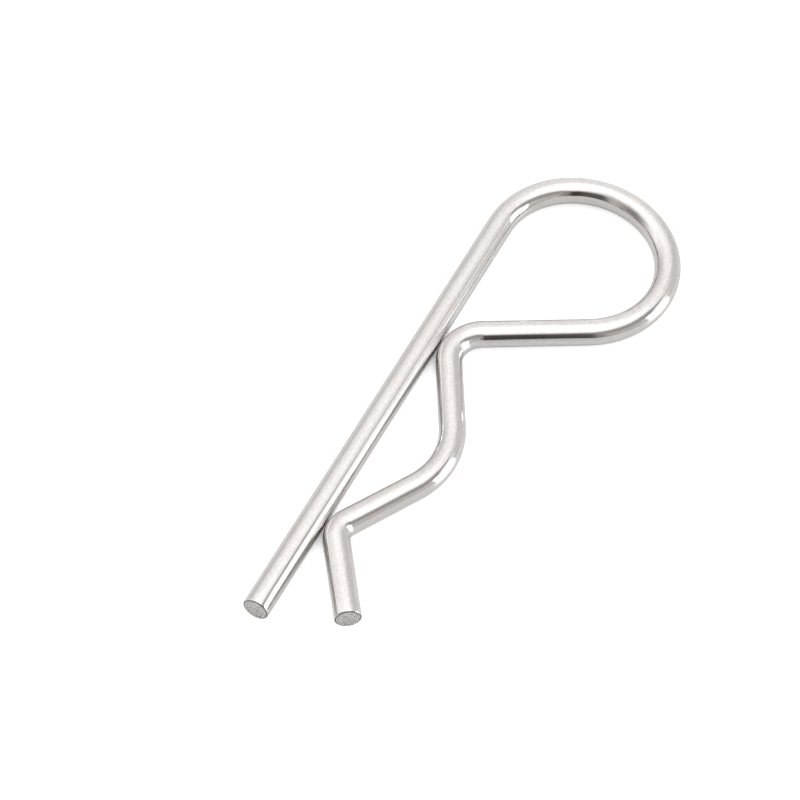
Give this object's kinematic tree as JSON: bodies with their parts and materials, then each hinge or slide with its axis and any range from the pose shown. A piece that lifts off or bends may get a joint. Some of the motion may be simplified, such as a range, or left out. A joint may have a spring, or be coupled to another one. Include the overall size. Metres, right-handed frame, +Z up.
{
  "type": "hitch r clip pin",
  "caption": "Spring-wire R clip: a straight leg goes through a cross-drilled shaft, and the sprung arm with its hump snaps round the shaft and holds it.",
  "frame": {"origin": "centre of the clip's box on the surface that it lies on", "axes": "+X along the straight leg towards its cut end, +Y from the leg to the sprung arm, +Z up, square to the plane of the wire"},
  "size_m": [0.071, 0.0232, 0.003],
  "materials": {
    "wire": "bright drawn stainless spring wire, polished, with fine lengthwise draw lines"
  },
  "bodies": {
    "root": {"clip_wire": "wire"}
  },
  "joints": []
}
